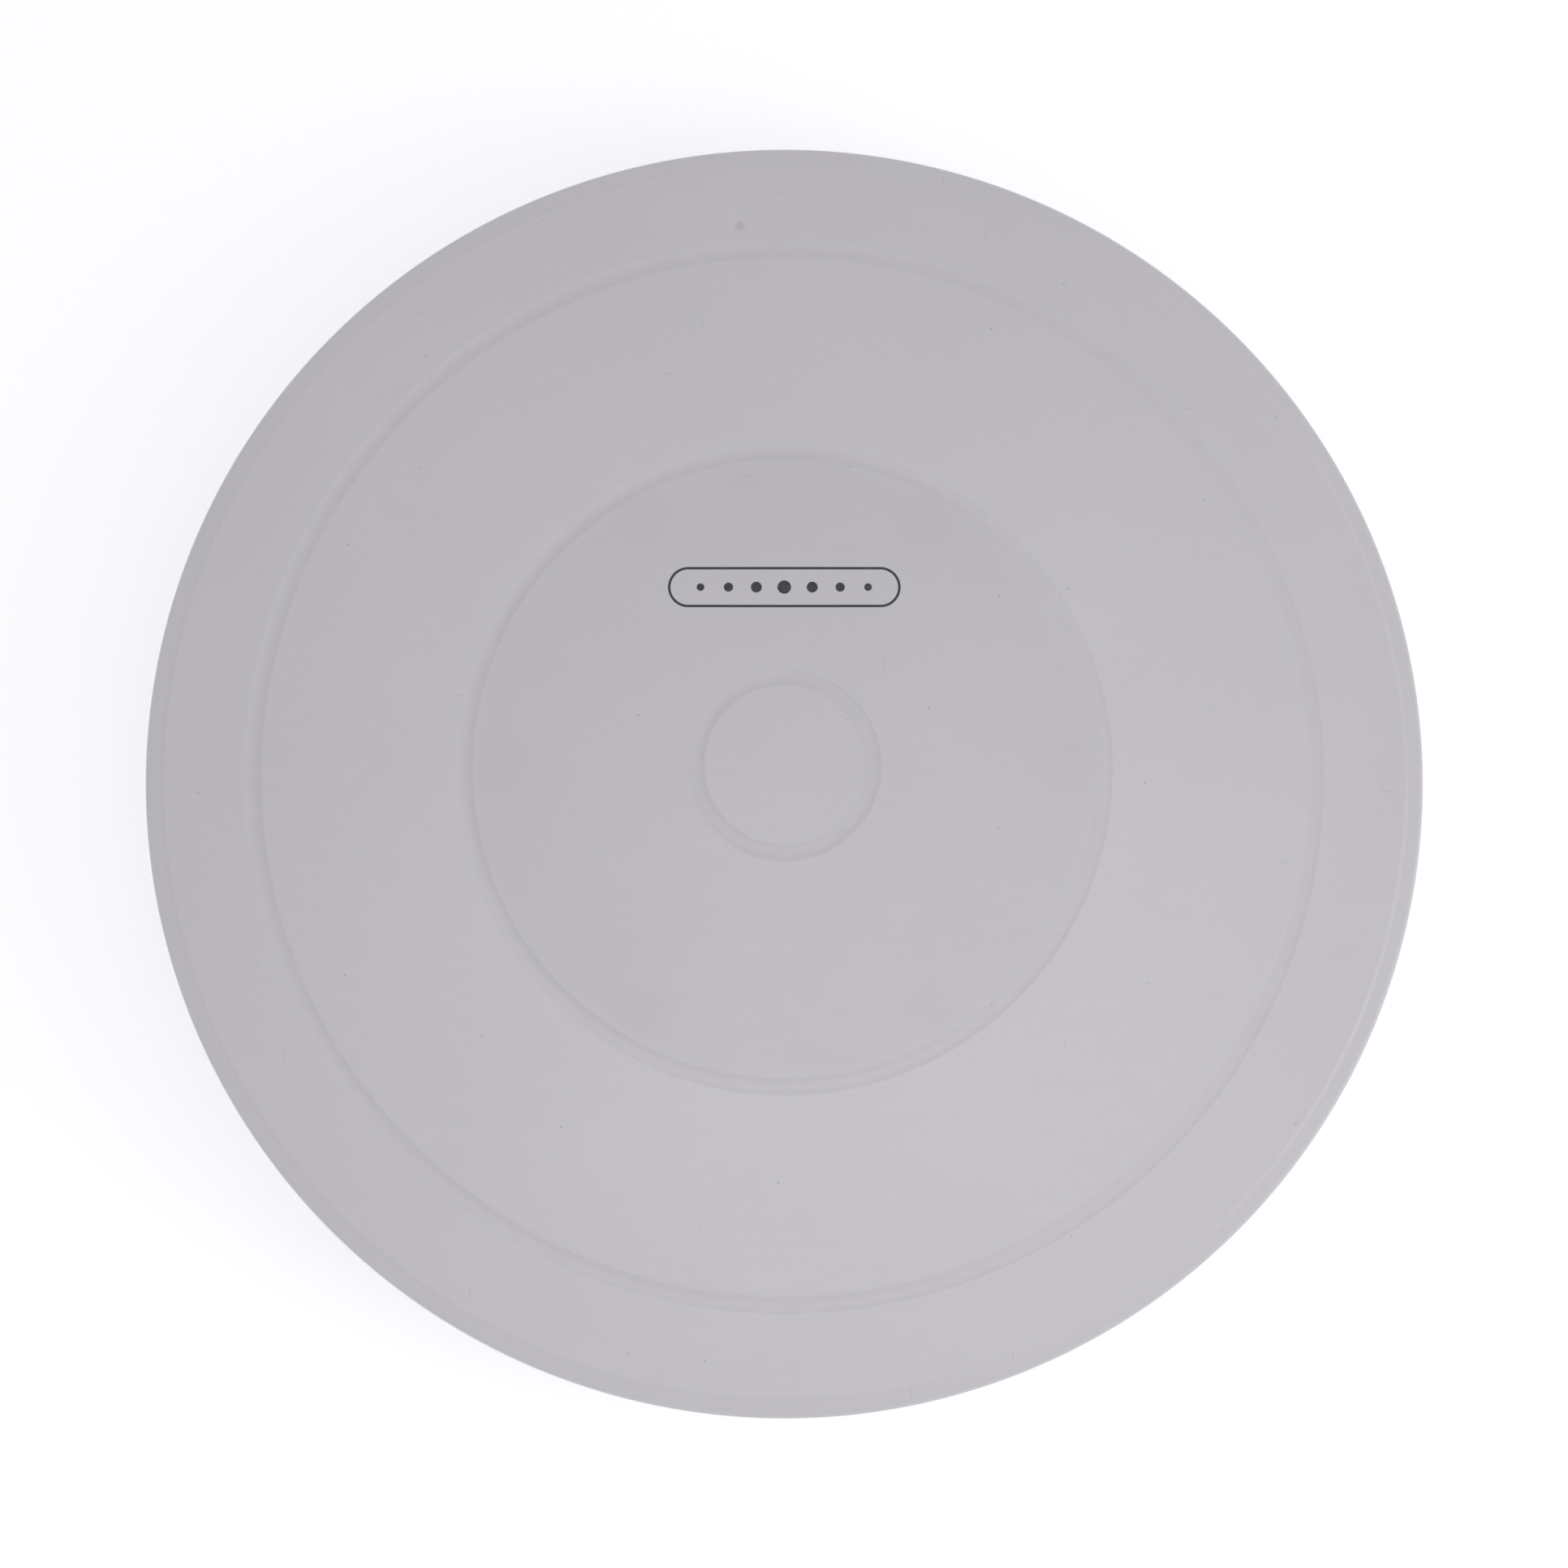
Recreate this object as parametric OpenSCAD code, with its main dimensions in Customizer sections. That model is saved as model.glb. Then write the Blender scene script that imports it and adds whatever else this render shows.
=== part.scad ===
// Low lazy susan turntable: a round plate screwed to a bearing housing that turns
// on a ring of caged balls over a flat base with rubber feet.
// Millimetres. +Z is up, Z = 0 is the table, and the Z axis is the axis of rotation.

/* [Turntable plate] */
// Diameter of the round plate
plate_d = 300; // [290:5:340]
// Thickness of the plate's flat wall
plate_t = 3; // [2.5:0.5:4]
// Height of the downturned rim, from the top face to its lower edge
rim_h = 10; // [8:1:12]
// Wall thickness of the rim
rim_t = 2.4; // [2:0.2:3]
// Width of the lowered band round the edge
shoulder_w = 4.8; // [4:0.1:6]
// Number of stiffening ribs under the plate
plate_rib_count = 24; // [12:2:36]

/* [Guide grooves] */
// Diameter of the small groove's centre line
small_groove_d = 41.5; // [38:0.5:50]
// Diameter of the middle groove's centre line
middle_groove_d = 150; // [120:5:180]
// Diameter of the large groove's centre line
large_groove_d = 249; // [230:1:260]
// Width of each groove
groove_w = 3.9; // [2.5:0.1:4.5]
// Depth of each groove
groove_depth = 0.3; // [0.2:0.1:0.9]

/* [Bearing] */
// Diameter of the circle that the balls run on
track_d = 112; // [108:1:114]
// Diameter of one ball
ball_d = 6; // [5.5:0.5:7]
// Number of balls in the cage
ball_count = 16; // [8:1:24]
// Number of screws that hold the housing to the plate
screw_count = 6; // [3:1:8]
// Diameter of the circle of screws
screw_circle_d = 134; // [133.5:0.1:134]

/* [Base] */
// Diameter of the base's flange
base_d = 150; // [148:1:158]
// Number of rubber feet
foot_count = 6; // [3:1:8]
// Height that the feet lift the base off the table
foot_lift = 2; // [1:0.5:3]
// Number of stiffening ribs
rib_count = 12; // [6:1:16]

/* [Hidden] */
wall = 2.5;          // moulded wall of the base and the housing
edge = 0.6;          // bevel on moulded edges
over = 1;            // how far a cutter runs past the face it cuts
root = 0.5;          // how far a rib or a boss is sunk into its wall
ball_play = 0.1;     // gap between a ball and each race
lift_gap = 0.2;      // axial gap at the hub, so that only the balls carry load

// Levels, from the table up
base_z = foot_lift;
floor_z = base_z + wall;
pedestal_z = base_z + 11;
seat_depth = 0.7;    // depth of the recess that each race sits in
race_seat_z = pedestal_z - seat_depth;
ball_z = pedestal_z + ball_d / 2;
housing_under_z = ball_z + ball_d / 2;
housing_top_z = housing_under_z + wall;
boss_h = 6;
plate_under_z = housing_top_z + boss_h;
plate_top_z = plate_under_z + plate_t;
rim_low_z = plate_top_z - rim_h;

// Plate
plate_r = plate_d / 2;
shoulder_r = plate_r - shoulder_w;
shoulder_step = 0.35;
shoulder_step_w = 1.6;
shoulder_drop = 0.25;
rim_edge = 1.2;
rim_draft = 0.2;
rim_round = 0.8;
rim_fillet = 1.5;
plate_rib_h = 2.5;
ring_rib_r = 110;
collar_clear = 0.3;
collar_lap = 2;
spigot_r = 20;
spigot_t = 2.5;
head_ring_r = 7.4;
head_ring_t = 2.8;

// Bearing
race_w = 11;
race_h = 1.4;
race_in_r = track_d / 2 - race_w / 2;
race_out_r = track_d / 2 + race_w / 2;
seat_gap = 0.05;
cage_t = 2;
cage_w = 12;
pocket_r = ball_d / 2 + 0.15;
pocket_wall = 1.2;
pocket_h = 3.6;

// Housing
housing_r = 73;
skirt_t = 2.4;
skirt_gap = 0.6;
housing_hub_r = 10;
housing_rib_h = 2.5;
rib_t = 1.8;

// Base
base_r = base_d / 2;
flange_h = 3;
flange_edge = 1;
seal_wall_r = 69.8;
seal_wall_t = 2.4;
seal_wall_z = base_z + 12.5;
hub_r = 15;
hub_recess_r = 12.5;
hub_under_z = base_z + 7.5;
pedestal_lip = 1.5;
channel_top_z = base_z + 7.8;
base_rib_z = base_z + 8;

// Pivot: an M6 bolt with a flanged bush, a washer and a lock nut
bolt_r = 3;
hex_r = 10 / 2 / cos(30);
bolt_head_h = 4;
pocket_play = 0.2;
bush_r = 5;
bush_bore_r = 3.06;
bush_flange_r = 8;
bush_flange_t = 1.2;
washer_r = 7;
washer_t = 1;
nut_h = 3.5;
nut_collar_r = 4.5;
nut_collar_h = 0.9;
bolt_end_z = base_z + 1.6;
bolt_bevel = 0.5;
cap_t = 1.2;
cap_wall_t = 1.5;
cap_wall_h = 2.3;

// Screws that join the housing to the plate
screw_r = 1.75;
screw_head_r = 3.3;
screw_head_h = 2.2;
screw_len = 7;
screw_boss_r = 5;
screw_seat_z = housing_top_z - 1.3;
seat_r = 3.5;
screw_hole_r = 2;
screw_tip_play = 0.5;
screw_head_round = 1.2;
cross_len = 3.8;
cross_w = 0.9;
cross_depth = 1.1;

// Feet
foot_r = 6;
foot_circle_r = 67.2;
foot_seat_h = 1;
foot_edge = 0.7;
foot_play = 0.1;
foot_turn = 180 / foot_count;

$fn = 96;

// Node names. Balls and feet are numbered.
function numbered(stem, n) = str(stem, n < 10 ? "0" : "", n);

// Points on a stretch of an ellipse, from angle a0 to angle a1
function arc(centre, rx, ry, a0, a1, steps = 8) =
    [for (i = [0:steps]) let (a = a0 + (a1 - a0) * i / steps)
        centre + [rx * cos(a), ry * sin(a)]];

// Copies of the children, evenly spaced round the axis
module around(count, radius, first = 0) {
    for (n = [0:count - 1])
        rotate([0, 0, first + n * 360 / count])
            translate([radius, 0, 0]) children();
}

// A ring from one radius to another, standing between two levels
module ring(r_in, r_out, z0, z1) {
    translate([0, 0, z0])
        difference() {
            cylinder(r = r_out, h = z1 - z0);
            translate([0, 0, -over]) cylinder(r = r_in, h = z1 - z0 + 2 * over);
        }
}

// Radial ribs between two radii and two levels
module ribs(count, r_in, r_out, z0, z1, first = 0) {
    around(count, r_in, first)
        translate([0, -rib_t / 2, z0]) cube([r_out - r_in, rib_t, z1 - z0]);
}

// The round bottom of one guide groove, as a cutter in the plate's section
module groove_cutter(centre_d) {
    r = (pow(groove_w / 2, 2) + pow(groove_depth, 2)) / (2 * groove_depth);
    translate([centre_d / 2, plate_top_z + r - groove_depth]) circle(r = r);
}

// Half section of the plate: flat top, lowered band, rim and the rings underneath
module plate_section() {
    collar_in = housing_r + collar_clear;
    collar_out = collar_in + wall;
    band_z = plate_top_z - shoulder_step;
    edge_z = band_z - shoulder_drop;
    rim_in = plate_r - rim_t;
    difference() {
        polygon(concat(
            [[0, plate_top_z], [shoulder_r, plate_top_z], [shoulder_r + shoulder_step_w, band_z]],
            arc([plate_r - rim_edge, edge_z - rim_edge], rim_edge, rim_edge, 90, 0),
            arc([plate_r - rim_draft - rim_round, rim_low_z + rim_round], rim_round, rim_round, 0, -90, 4),
            [[rim_in, rim_low_z]],
            arc([rim_in - rim_fillet, plate_under_z - rim_fillet], rim_fillet, rim_fillet, 0, 90, 4),
            [[collar_out, plate_under_z],
             [collar_out, housing_top_z - collar_lap],
             [collar_in, housing_top_z - collar_lap],
             [collar_in, plate_under_z],
             [spigot_r, plate_under_z],
             [spigot_r, housing_top_z],
             [spigot_r - spigot_t, housing_top_z],
             [spigot_r - spigot_t, plate_under_z],
             [head_ring_r, plate_under_z],
             [head_ring_r, housing_top_z],
             [head_ring_r - head_ring_t, housing_top_z],
             [head_ring_r - head_ring_t, plate_under_z],
             [0, plate_under_z]]));
        for (d = [small_groove_d, middle_groove_d, large_groove_d]) groove_cutter(d);
    }
}

// The plate, with ribs and one boss for each screw underneath
module turntable_plate() {
    screw_tip_z = screw_seat_z + screw_len;
    color("#c6c4c9")
        difference() {
            union() {
                rotate_extrude() plate_section();
                around(screw_count, screw_circle_d / 2)
                    translate([0, 0, housing_top_z]) cylinder(r = screw_boss_r, h = boss_h + root);
                ribs(plate_rib_count, housing_r + wall, plate_r - rim_t + root,
                     plate_under_z - plate_rib_h, plate_under_z + root, 180 / plate_rib_count);
                ring(ring_rib_r - rib_t / 2, ring_rib_r + rib_t / 2,
                     plate_under_z - plate_rib_h, plate_under_z + root);
            }
            around(screw_count, screw_circle_d / 2)
                translate([0, 0, housing_top_z - over])
                    cylinder(r = screw_r, h = screw_tip_z + screw_tip_play - housing_top_z + over);
        }
}

// The cap-shaped upper half of the bearing, with its skirt over the base
module bearing_housing() {
    hub_low_z = pedestal_z + bush_flange_t + lift_gap;
    skirt_low_z = base_z + flange_h + skirt_gap;
    color("#cfcdd0")
        difference() {
            union() {
                rotate_extrude()
                    polygon([
                        [bolt_r, hub_low_z],
                        [housing_hub_r, hub_low_z],
                        [housing_hub_r, housing_under_z],
                        [race_in_r - seat_gap, housing_under_z],
                        [race_in_r - seat_gap, housing_under_z + seat_depth],
                        [race_out_r + seat_gap, housing_under_z + seat_depth],
                        [race_out_r + seat_gap, housing_under_z],
                        [housing_r - skirt_t, housing_under_z],
                        [housing_r - skirt_t, skirt_low_z],
                        [housing_r, skirt_low_z],
                        [housing_r, housing_top_z - edge],
                        [housing_r - edge, housing_top_z],
                        [bolt_r, housing_top_z]]);
                ribs(rib_count, housing_hub_r - root, race_in_r - wall,
                     housing_under_z - housing_rib_h, housing_under_z + root, 180 / rib_count);
            }
            translate([0, 0, housing_top_z - bolt_head_h - pocket_play])
                cylinder(r = hex_r + pocket_play / 2, h = bolt_head_h + over, $fn = 6);
            around(screw_count, screw_circle_d / 2) {
                translate([0, 0, housing_under_z - over])
                    cylinder(r = seat_r, h = screw_seat_z - housing_under_z + over);
                translate([0, 0, housing_under_z - over]) cylinder(r = screw_hole_r, h = wall + 2 * over);
            }
        }
}

// Pan-head screws, driven up through the housing into the plate's bosses
module plate_screws() {
    color("silver")
        around(screw_count, screw_circle_d / 2)
            difference() {
                union() {
                    translate([0, 0, screw_seat_z - screw_head_h])
                        rotate_extrude()
                            polygon(concat(
                                [[0, 0]],
                                arc([screw_head_r - screw_head_round, screw_head_round],
                                    screw_head_round, screw_head_round, -90, 0, 4),
                                [[screw_head_r, screw_head_h], [0, screw_head_h]]));
                    translate([0, 0, screw_seat_z - root]) cylinder(r = screw_r, h = screw_len + root);
                }
                for (turn = [0, 90])
                    rotate([0, 0, turn])
                        translate([-cross_len / 2, -cross_w / 2, screw_seat_z - screw_head_h - over])
                            cube([cross_len, cross_w, cross_depth + over]);
            }
}

// One pressed steel race: a flat ring with a round track for the balls
module race(z0) {
    color("silver")
        rotate_extrude()
            difference() {
                translate([race_in_r, z0]) square([race_w, race_h]);
                translate([track_d / 2, ball_z]) circle(r = ball_d / 2 + ball_play);
            }
}

module upper_race() {
    race(housing_under_z + seat_depth - race_h);
}

module lower_race() {
    race(race_seat_z);
}

// The flat ring that spaces the balls, with a collar round each pocket
module ball_cage() {
    color("#ece9df")
        difference() {
            union() {
                ring(track_d / 2 - cage_w / 2, track_d / 2 + cage_w / 2,
                     ball_z - cage_t / 2, ball_z + cage_t / 2);
                around(ball_count, track_d / 2)
                    translate([0, 0, ball_z - pocket_h / 2])
                        cylinder(r = pocket_r + pocket_wall, h = pocket_h);
            }
            around(ball_count, track_d / 2)
                translate([0, 0, ball_z - pocket_h]) cylinder(r = pocket_r, h = 2 * pocket_h);
        }
}

module ball(n) {
    color("silver")
        rotate([0, 0, (n - 1) * 360 / ball_count])
            translate([track_d / 2, 0, ball_z]) sphere(d = ball_d);
}

// The base: one stepped wall that rises to carry the hub, the lower race and the seal wall
module base() {
    pedestal_in = race_in_r - pedestal_lip;
    pedestal_out = race_out_r + pedestal_lip;
    color("#cfcdd0")
        difference() {
            union() {
                rotate_extrude()
                    polygon([
                        [bush_r, hub_under_z],
                        [hub_recess_r, hub_under_z],
                        [hub_recess_r, base_z],
                        [pedestal_in + wall, base_z],
                        [pedestal_in + wall, channel_top_z],
                        [pedestal_out - wall, channel_top_z],
                        [pedestal_out - wall, base_z],
                        [base_r - flange_edge, base_z],
                        [base_r, base_z + flange_edge],
                        [base_r, base_z + flange_h - edge],
                        [base_r - edge, base_z + flange_h],
                        [seal_wall_r, base_z + flange_h],
                        [seal_wall_r, seal_wall_z - edge],
                        [seal_wall_r - edge, seal_wall_z],
                        [seal_wall_r - seal_wall_t, seal_wall_z],
                        [seal_wall_r - seal_wall_t, floor_z],
                        [pedestal_out, floor_z],
                        [pedestal_out, pedestal_z],
                        [race_out_r + seat_gap, pedestal_z],
                        [race_out_r + seat_gap, race_seat_z],
                        [race_in_r - seat_gap, race_seat_z],
                        [race_in_r - seat_gap, pedestal_z],
                        [pedestal_in, pedestal_z],
                        [pedestal_in, floor_z],
                        [hub_r, floor_z],
                        [hub_r, pedestal_z],
                        [bush_r, pedestal_z]]);
                ribs(rib_count, hub_r - root, pedestal_in + root, floor_z - root, base_rib_z);
                ribs(rib_count, pedestal_in + wall - root, pedestal_out - wall + root,
                     base_z + root, channel_top_z + root, 180 / rib_count);
            }
            around(foot_count, foot_circle_r, foot_turn)
                translate([0, 0, base_z - over])
                    cylinder(r = foot_r + foot_play, h = foot_seat_h + over);
        }
}

// Rubber bumper glued in a round recess under the flange
module foot(n) {
    color("#3a3a3c")
        rotate([0, 0, foot_turn + (n - 1) * 360 / foot_count])
            translate([foot_circle_r, 0, 0])
                rotate_extrude()
                    polygon(concat(
                        [[0, 0]],
                        arc([foot_r - foot_edge, foot_edge], foot_edge, foot_edge, -90, 0, 4),
                        [[foot_r, base_z + foot_seat_h], [0, base_z + foot_seat_h]]));
}

// Flanged bush in the base's hub, that the bolt turns in
module pivot_bush() {
    flange_top_z = pedestal_z + bush_flange_t;
    color("#e6dfc8")
        rotate_extrude()
            polygon([
                [bush_bore_r, hub_under_z],
                [bush_r, hub_under_z],
                [bush_r, pedestal_z],
                [bush_flange_r, pedestal_z],
                [bush_flange_r, flange_top_z],
                [bush_bore_r, flange_top_z]]);
}

// Hex bolt: the head is trapped between the housing and the plate
module pivot_bolt() {
    seat_z = housing_top_z - bolt_head_h - pocket_play;
    color("silver") {
        translate([0, 0, seat_z])
            intersection() {
                cylinder(r = hex_r, h = bolt_head_h, $fn = 6);
                cylinder(r1 = hex_r + bolt_head_h, r2 = hex_r - bolt_bevel, h = bolt_head_h);
            }
        rotate_extrude()
            polygon([
                [0, bolt_end_z],
                [bolt_r - bolt_bevel, bolt_end_z],
                [bolt_r, bolt_end_z + bolt_bevel],
                [bolt_r, seat_z + root],
                [0, seat_z + root]]);
    }
}

module thrust_washer() {
    top_z = hub_under_z - lift_gap;
    color("#e6dfc8") ring(bolt_r, washer_r, top_z - washer_t, top_z);
}

// Lock nut: a hexagon with a round collar for the nylon insert
module lock_nut() {
    top_z = hub_under_z - lift_gap - washer_t;
    color("silver")
        difference() {
            union() {
                translate([0, 0, top_z - nut_h]) cylinder(r = hex_r, h = nut_h, $fn = 6);
                translate([0, 0, top_z - nut_h - nut_collar_h])
                    cylinder(r = nut_collar_r, h = nut_collar_h + root);
            }
            translate([0, 0, top_z - nut_h - nut_collar_h - over])
                cylinder(r = bolt_r, h = nut_h + nut_collar_h + 2 * over);
        }
}

// Push-in cap that closes the hub recess over the nut
module hub_cap() {
    cap_r = hub_recess_r;
    color("#cfcdd0")
        rotate_extrude()
            polygon([
                [0, base_z],
                [cap_r - edge, base_z],
                [cap_r, base_z + edge],
                [cap_r, base_z + cap_t + cap_wall_h],
                [cap_r - cap_wall_t, base_z + cap_t + cap_wall_h],
                [cap_r - cap_wall_t, base_z + cap_t],
                [0, base_z + cap_t]]);
}

turntable_plate();
bearing_housing();
plate_screws();
upper_race();
ball_cage();
for (n = [1:ball_count]) ball(n);
lower_race();
base();
pivot_bush();
pivot_bolt();
thrust_washer();
lock_nut();
hub_cap();
for (n = [1:foot_count]) foot(n);
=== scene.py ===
import math
import bpy
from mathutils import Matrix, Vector


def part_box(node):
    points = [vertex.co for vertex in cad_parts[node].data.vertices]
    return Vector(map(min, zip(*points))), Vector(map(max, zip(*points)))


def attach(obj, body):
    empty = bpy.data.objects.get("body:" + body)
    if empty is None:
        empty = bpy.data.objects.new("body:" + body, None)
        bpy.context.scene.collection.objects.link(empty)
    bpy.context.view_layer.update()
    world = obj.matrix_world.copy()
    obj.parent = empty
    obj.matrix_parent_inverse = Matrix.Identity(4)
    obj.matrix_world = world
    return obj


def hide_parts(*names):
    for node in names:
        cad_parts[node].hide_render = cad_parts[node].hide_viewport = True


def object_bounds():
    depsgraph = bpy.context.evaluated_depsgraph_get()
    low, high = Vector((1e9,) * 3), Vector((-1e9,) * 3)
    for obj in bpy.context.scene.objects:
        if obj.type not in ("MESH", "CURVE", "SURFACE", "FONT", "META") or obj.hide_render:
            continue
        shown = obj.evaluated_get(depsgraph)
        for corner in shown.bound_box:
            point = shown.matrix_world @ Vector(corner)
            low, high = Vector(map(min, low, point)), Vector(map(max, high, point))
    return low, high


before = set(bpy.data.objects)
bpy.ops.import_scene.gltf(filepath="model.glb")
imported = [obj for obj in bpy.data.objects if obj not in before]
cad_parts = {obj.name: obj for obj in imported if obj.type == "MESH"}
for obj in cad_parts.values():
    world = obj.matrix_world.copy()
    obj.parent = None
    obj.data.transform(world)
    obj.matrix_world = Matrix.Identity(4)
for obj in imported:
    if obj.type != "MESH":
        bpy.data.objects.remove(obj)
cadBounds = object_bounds()
mm = 0.001
print("frame loaded:", len(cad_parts), "nodes")


def span(nodeName):
    # outer radius, lowest and highest level of a round node, in mm
    low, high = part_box(nodeName)
    return high.x / mm, low.z / mm, high.z / mm


plateRadius, rimLow, plateTop = span("turntable_plate")
housingRadius, skirtLow, housingTop = span("bearing_housing")
baseRadius, baseLow = span("base")[:2]
capRadius, capLow, capHigh = span("hub_cap")
lowerRaceLow = span("lower_race")[1]
hubUnder, bushHigh = span("pivot_bush")[1:]
past = 1.0          # mm by which a cutter sticks out of what it cuts
ribDraft = 0.82     # a rib's lower edge has this share of its width


def deselectAll():
    if bpy.context.mode != "OBJECT":
        bpy.ops.object.mode_set(mode="OBJECT")
    bpy.ops.object.select_all(action="DESELECT")


def makeActive(piece):
    deselectAll()
    piece.select_set(True)
    bpy.context.view_layer.objects.active = piece


def settlePlace():
    # the object goes back to the origin, and its place, turn and size go into its mesh
    bpy.ops.object.transform_apply(location=True, rotation=True, scale=True)


def selectFaces(piece, test):
    # leaves the piece in edit mode, with only the faces selected whose centre and normal pass the test
    makeActive(piece)
    bpy.ops.object.mode_set(mode="EDIT")
    bpy.ops.mesh.select_mode(type="FACE")
    bpy.ops.mesh.select_all(action="DESELECT")
    bpy.ops.object.mode_set(mode="OBJECT")
    for face in piece.data.polygons:
        face.select = test(face.center / mm, face.normal)
    bpy.ops.object.mode_set(mode="EDIT")


def selectPoints(piece, test):
    # the same for points, by their place in mm
    makeActive(piece)
    bpy.ops.object.mode_set(mode="EDIT")
    bpy.ops.mesh.select_mode(type="VERT")
    bpy.ops.mesh.select_all(action="DESELECT")
    bpy.ops.object.mode_set(mode="OBJECT")
    for point in piece.data.vertices:
        point.select = test(point.co / mm)
    bpy.ops.object.mode_set(mode="EDIT")


def roundCorners(corners, steps=4, closed=False):
    # corners are (x, z, radius); each one with a radius becomes an arc that touches both sides
    points = []
    for index, (x, z, radius) in enumerate(corners):
        corner = Vector((x, z))
        isEnd = not closed and index in (0, len(corners) - 1)
        if radius == 0 or isEnd:
            points.append(corner)
            continue
        back = (Vector(corners[index - 1][:2]) - corner).normalized()
        ahead = (Vector(corners[(index + 1) % len(corners)][:2]) - corner).normalized()
        halfAngle = back.angle(ahead) / 2
        centre = corner + (back + ahead).normalized() * radius / math.sin(halfAngle)
        first = corner + back * radius / math.tan(halfAngle) - centre
        last = corner + ahead * radius / math.tan(halfAngle) - centre
        sweep = math.atan2(first.x * last.y - first.y * last.x, first.dot(last))
        for step in range(steps + 1):
            turn = sweep * step / steps
            points.append(centre + Vector((
                first.x * math.cos(turn) - first.y * math.sin(turn),
                first.x * math.sin(turn) + first.y * math.cos(turn))))
    return points


def turnPiece(name, outline, steps, closed=False):
    # the half section is drawn point by point, as with E and G, and then spun round the axis
    deselectAll()
    start = outline[0]
    bpy.ops.mesh.primitive_plane_add(size=mm)
    piece = bpy.context.active_object
    piece.name = name
    bpy.ops.object.mode_set(mode="EDIT")
    bpy.ops.mesh.select_mode(type="VERT")       # a lone point can't be selected in face mode
    bpy.ops.mesh.select_all(action="SELECT")
    bpy.ops.mesh.merge(type="CENTER")
    bpy.ops.transform.translate(value=(start.x * mm, 0, start.y * mm))
    route = list(outline[1:]) + ([start] if closed else [])
    for here, there in zip(outline, route):
        move = (there - here) * mm
        bpy.ops.mesh.extrude_vertices_move(TRANSFORM_OT_translate={"value": (move.x, 0, move.y)})
    bpy.ops.mesh.select_all(action="SELECT")
    bpy.ops.mesh.spin(steps=steps, angle=2 * math.pi, center=(0, 0, 0), axis=(0, 0, 1))
    bpy.ops.mesh.select_all(action="SELECT")
    bpy.ops.mesh.remove_doubles(threshold=0.002 * mm)
    bpy.ops.mesh.normals_make_consistent(inside=False)
    bpy.ops.object.mode_set(mode="OBJECT")
    return piece


def boxPiece(name, low, high):
    # low and high corners in mm
    deselectAll()
    low, high = Vector(low) * mm, Vector(high) * mm
    bpy.ops.mesh.primitive_cube_add(size=1, location=(low + high) / 2, scale=high - low)
    piece = bpy.context.active_object
    piece.name = name
    settlePlace()
    return piece


def shiftPiece(piece, x=0, y=0):
    # the shift is in mm
    makeActive(piece)
    piece.location = Vector((x, y, 0)) * mm
    settlePlace()


def copyTurned(piece, name, degrees):
    makeActive(piece)
    bpy.ops.object.duplicate(linked=False)
    copy = bpy.context.active_object
    copy.name = name
    copy.rotation_euler.z = math.radians(degrees)
    settlePlace()
    return copy


def joinPieces(pieces):
    makeActive(pieces[0])
    for piece in pieces[1:]:
        piece.select_set(True)
    bpy.ops.object.join()
    return bpy.context.active_object


def around(piece, count, first=0):
    # the piece goes to its first place, and copies of it fill the circle; all become one object
    copies = [copyTurned(piece, piece.name, first + n * 360 / count) for n in range(count)]
    bpy.data.objects.remove(piece)
    return joinPieces(copies)


def combine(piece, tool, operation):
    # adds the tool to the piece or cuts it out, and removes the tool
    makeActive(piece)
    cut = piece.modifiers.new("combine", "BOOLEAN")
    cut.operation = operation
    cut.solver = "EXACT"
    cut.object = tool
    bpy.ops.object.modifier_apply(modifier=cut.name)
    bpy.data.objects.remove(tool)


def rib(name, inner, outer, low, high, width, edge=0.3):
    # a moulded rib along X: narrower at its lower edge, which is rounded
    piece = boxPiece(name, (inner, -width / 2, low), (outer, width / 2, high))
    selectFaces(piece, lambda centre, normal: normal.z < -0.9)
    bpy.ops.transform.resize(value=(1, ribDraft, 1))
    bpy.ops.mesh.bevel(offset=edge * mm, segments=3, affect="EDGES")
    bpy.ops.object.mode_set(mode="OBJECT")
    return piece


def finishPiece(piece, material, body, nodeNames=(), degrees=30):
    makeActive(piece)
    bpy.ops.object.shade_smooth_by_angle(angle=math.radians(degrees))
    piece.data.materials.clear()
    piece.data.materials.append(material)
    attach(piece, body)
    if nodeNames:
        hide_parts(*nodeNames)
    print(piece.name, len(piece.data.polygons), "faces")


def linearColour(hexColour):
    channels = [int(hexColour[i:i + 2], 16) / 255 for i in (1, 3, 5)]
    linear = [c / 12.92 if c <= 0.04045 else ((c + 0.055) / 1.055) ** 2.4 for c in channels]
    return (*linear, 1.0)


def newMaterial(name):
    material = bpy.data.materials.new(name)
    material.use_nodes = True
    return material, material.node_tree


def addNode(tree, kind, settings=None, inputs=None):
    # a value that is (node, socket) is linked, and any other is set on the socket
    made = tree.nodes.new(kind)
    for key, value in (settings or {}).items():
        setattr(made, key, value)
    for key, value in (inputs or {}).items():
        if isinstance(value, tuple) and isinstance(value[0], bpy.types.Node):
            tree.links.new(value[0].outputs[value[1]], made.inputs[key])
        else:
            made.inputs[key].default_value = value
    return made


def blendColours(tree, factor, first, second):
    # first and second are hex colours, or the (node, socket) of a colour made before
    sides = [linearColour(side) if isinstance(side, str) else side for side in (first, second)]
    made = addNode(tree, "ShaderNodeMix", {"data_type": "RGBA"}, {
        "Factor": factor, 6: sides[0], 7: sides[1]})      # 6 and 7 are its two colour sockets
    return made, 2


def fadeBetween(tree, value, start, end, low, high, shape="SMOOTHSTEP"):
    made = addNode(tree, "ShaderNodeMapRange", {"interpolation_type": shape}, {
        "Value": value, "From Min": start, "From Max": end, "To Min": low, "To Max": high})
    return made, "Result"


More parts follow.
